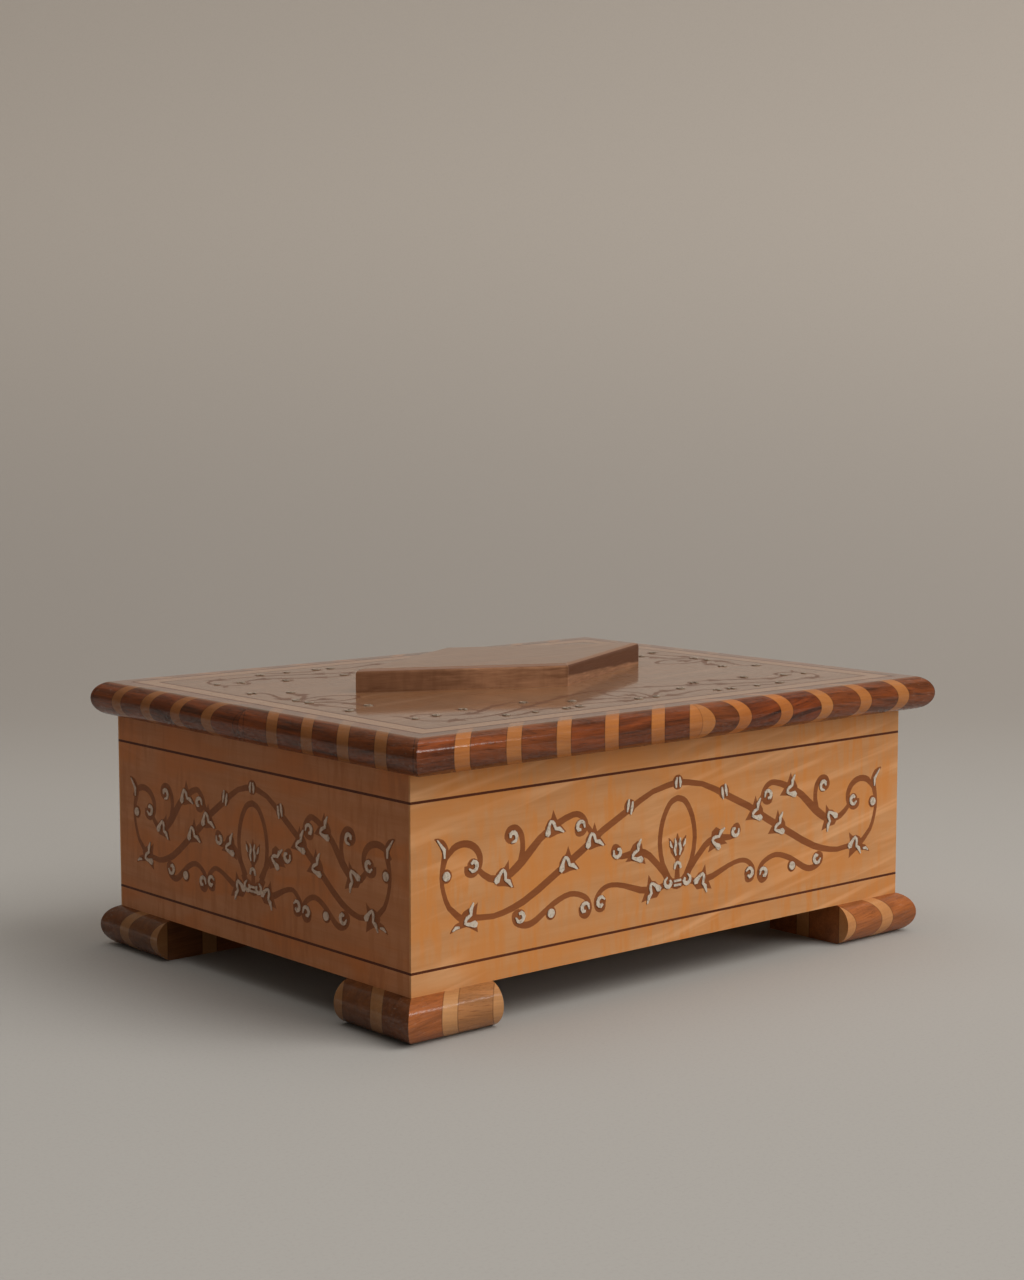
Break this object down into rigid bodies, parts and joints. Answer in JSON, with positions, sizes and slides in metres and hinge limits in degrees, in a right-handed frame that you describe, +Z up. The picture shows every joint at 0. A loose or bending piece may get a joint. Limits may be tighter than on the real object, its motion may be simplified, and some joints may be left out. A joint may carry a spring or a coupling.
{
  "type": "jewellery box",
  "caption": "Wooden jewellery box with scroll marquetry panels, striped bullnose edging round a hinged lid, a lozenge lift on top and block feet.",
  "frame": {"origin": "on the resting plane, under the middle of the lid", "axes": "+X along the long front, to the right; +Y from front to back; +Z up"},
  "size_m": [0.254, 0.198, 0.109],
  "materials": {
    "figured_maple": "gloss varnish on figured maple",
    "border_maple": "gloss varnish on plain maple",
    "maple": "gloss varnish",
    "walnut": "gloss varnish",
    "scroll_wood": "gloss varnish",
    "pewter": "rubbed pale metal",
    "stringing": "dark dyed wood",
    "core_wood": "satin wood",
    "felt": "pressed felt",
    "brass": "polished"
  },
  "bodies": {
    "case": {"front_wall": "core_wood", "back_wall": "core_wood", "left_wall": "core_wood", "right_wall": "core_wood", "floor_panel": "core_wood", "floor_lining": "felt", "front_veneer": "figured_maple", "back_veneer": "figured_maple", "left_veneer": "figured_maple", "right_veneer": "figured_maple", "lower_stringing": "stringing", "upper_stringing": "stringing", "front_scroll": "scroll_wood", "back_scroll": "scroll_wood", "left_scroll": "scroll_wood", "right_scroll": "scroll_wood", "front_pewter": "pewter", "back_pewter": "pewter", "left_pewter": "pewter", "right_pewter": "pewter", "front_left_foot": "walnut", "front_left_foot_stripes": "maple", "front_right_foot": "walnut", "front_right_foot_stripes": "maple", "back_left_foot": "walnut", "back_left_foot_stripes": "maple", "back_right_foot": "walnut", "back_right_foot_stripes": "maple", "left_rim_leaf": "brass", "right_rim_leaf": "brass", "left_hinge_pin": "brass", "right_hinge_pin": "brass", "rim_screws": "brass"},
    "lid": {"lid_core": "core_wood", "lid_border": "border_maple", "lid_stringing": "stringing", "lid_veneer": "figured_maple", "lid_scroll": "scroll_wood", "lid_pewter": "pewter", "front_edging": "walnut", "front_edging_stripes": "maple", "back_edging": "walnut", "back_edging_stripes": "maple", "left_edging": "walnut", "left_edging_stripes": "maple", "right_edging": "walnut", "right_edging_stripes": "maple", "lozenge_block": "walnut", "lozenge_veneer": "border_maple", "left_lid_leaf": "brass", "right_lid_leaf": "brass", "lid_screws": "brass"}
  },
  "joints": [
    {"name": "lid_hinge", "type": "hinge", "parent": "case", "child": "lid", "pos_m": [0, 0.0938, 0.088], "axis": [-1, 0, 0], "range_deg": [0, 105]}
  ]
}
